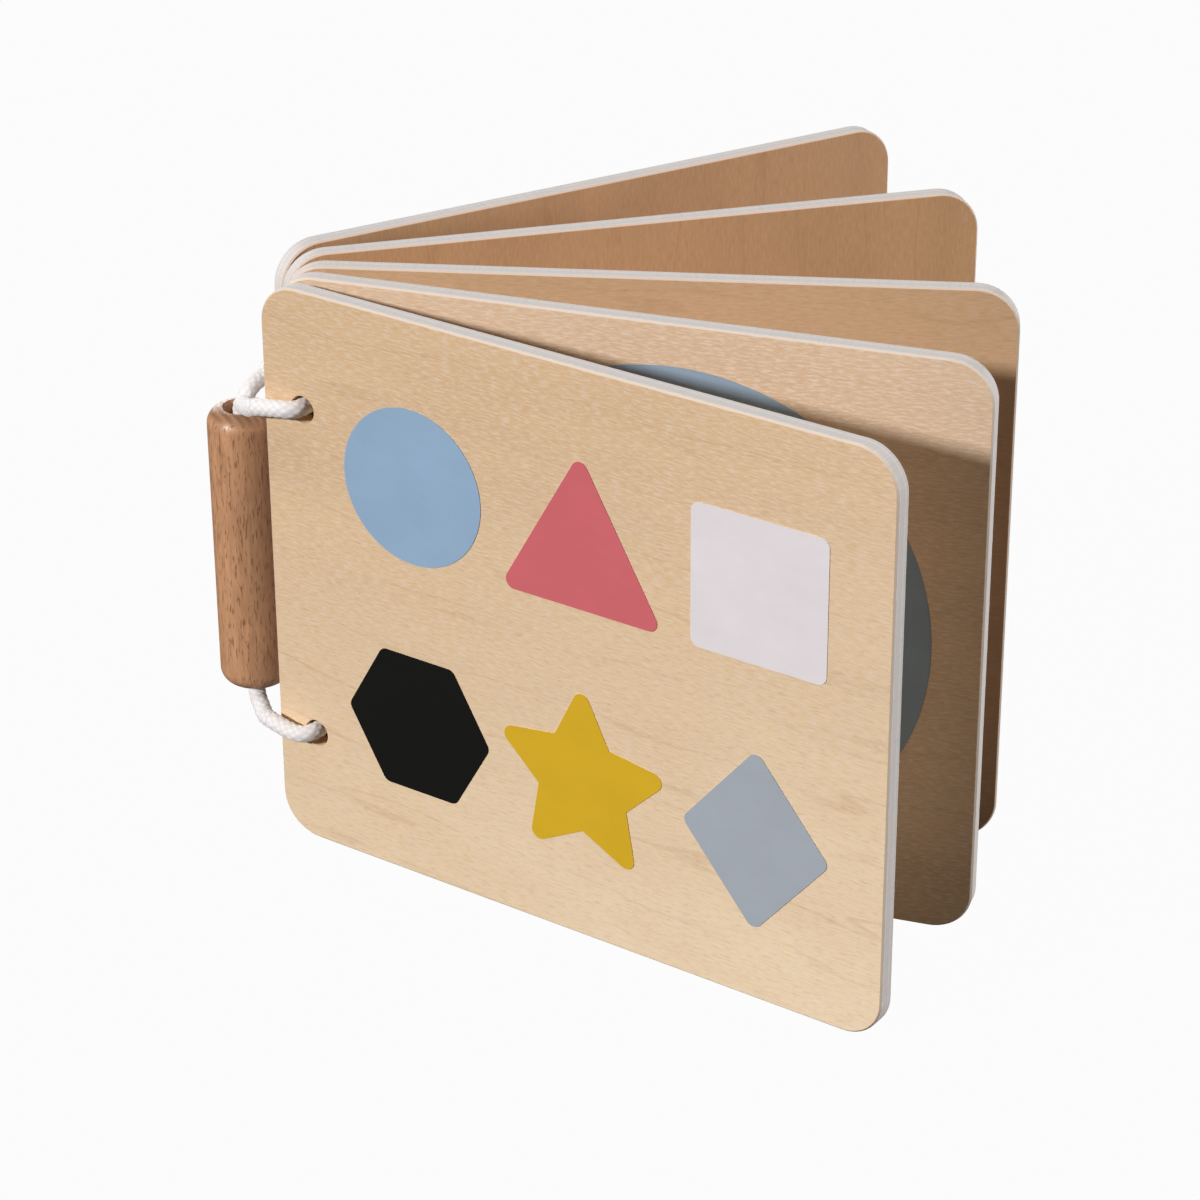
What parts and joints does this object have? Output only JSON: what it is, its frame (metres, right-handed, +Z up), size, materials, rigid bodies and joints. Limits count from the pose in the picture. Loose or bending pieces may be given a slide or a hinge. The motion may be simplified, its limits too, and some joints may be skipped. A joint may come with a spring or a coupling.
{
  "type": "wooden book",
  "caption": "Child's board book of rounded plywood leaves threaded on a cord loop with a turned dowel at the spine, standing open like a fan.",
  "frame": {"origin": "centre of the bottom edge of the middle board", "axes": "+X along the middle board from the spine to the free edge, +Y towards the back cover, +Z up"},
  "size_m": [0.1673, 0.1794, 0.127],
  "materials": {
    "plywood_cover": "sanded birch plywood, clear matt lacquer",
    "plywood_page": "sanded birch plywood, clear matt lacquer",
    "plywood_back": "sanded birch plywood, clear matt lacquer",
    "beech": "turned beech, waxed",
    "cord": "braided cotton cord",
    "ink_blue": "matt printing ink",
    "ink_pink": "matt printing ink",
    "ink_white": "matt printing ink",
    "ink_black": "matt printing ink",
    "ink_mustard": "matt printing ink",
    "ink_grey": "matt printing ink",
    "ink_slate": "matt printing ink"
  },
  "bodies": {
    "page_2": {"page_2": "plywood_page", "binding_cord": "cord"},
    "page_1": {"page_1": "plywood_page", "print_disc": "ink_slate"},
    "front_cover": {"front_cover": "plywood_cover", "print_circle": "ink_blue", "print_triangle": "ink_pink", "print_square": "ink_white", "print_hexagon": "ink_black", "print_star": "ink_mustard", "print_diamond": "ink_grey"},
    "page_3": {"page_3": "plywood_back"},
    "back_cover": {"back_cover": "plywood_back"},
    "spine_dowel": {"spine_dowel": "beech"}
  },
  "joints": [
    {"name": "page_1_hinge", "type": "hinge", "parent": "page_2", "child": "page_1", "pos_m": [-0.075, -0.0024, 0], "axis": [0, 0, -1], "range_deg": [-13, 22], "deforming": ["binding_cord"]},
    {"name": "front_cover_hinge", "type": "hinge", "parent": "page_1", "child": "front_cover", "pos_m": [-0.07599, -0.00669, 0], "axis": [0, 0, -1], "range_deg": [-16, 19], "deforming": ["binding_cord"]},
    {"name": "page_3_hinge", "type": "hinge", "parent": "page_2", "child": "page_3", "pos_m": [-0.075, 0.0024, 0], "axis": [0, 0, 1], "range_deg": [-20, 15], "deforming": ["binding_cord"]},
    {"name": "back_cover_hinge", "type": "hinge", "parent": "page_3", "child": "back_cover", "pos_m": [-0.07651, 0.00654, 0], "axis": [0, 0, 1], "range_deg": [-15.5, 19.5], "deforming": ["binding_cord"]},
    {"name": "dowel_spin", "type": "hinge", "parent": "page_2", "child": "spine_dowel", "pos_m": [-0.08455, 0, 0.0625], "axis": [0, 0, 1], "continuous": true}
  ]
}
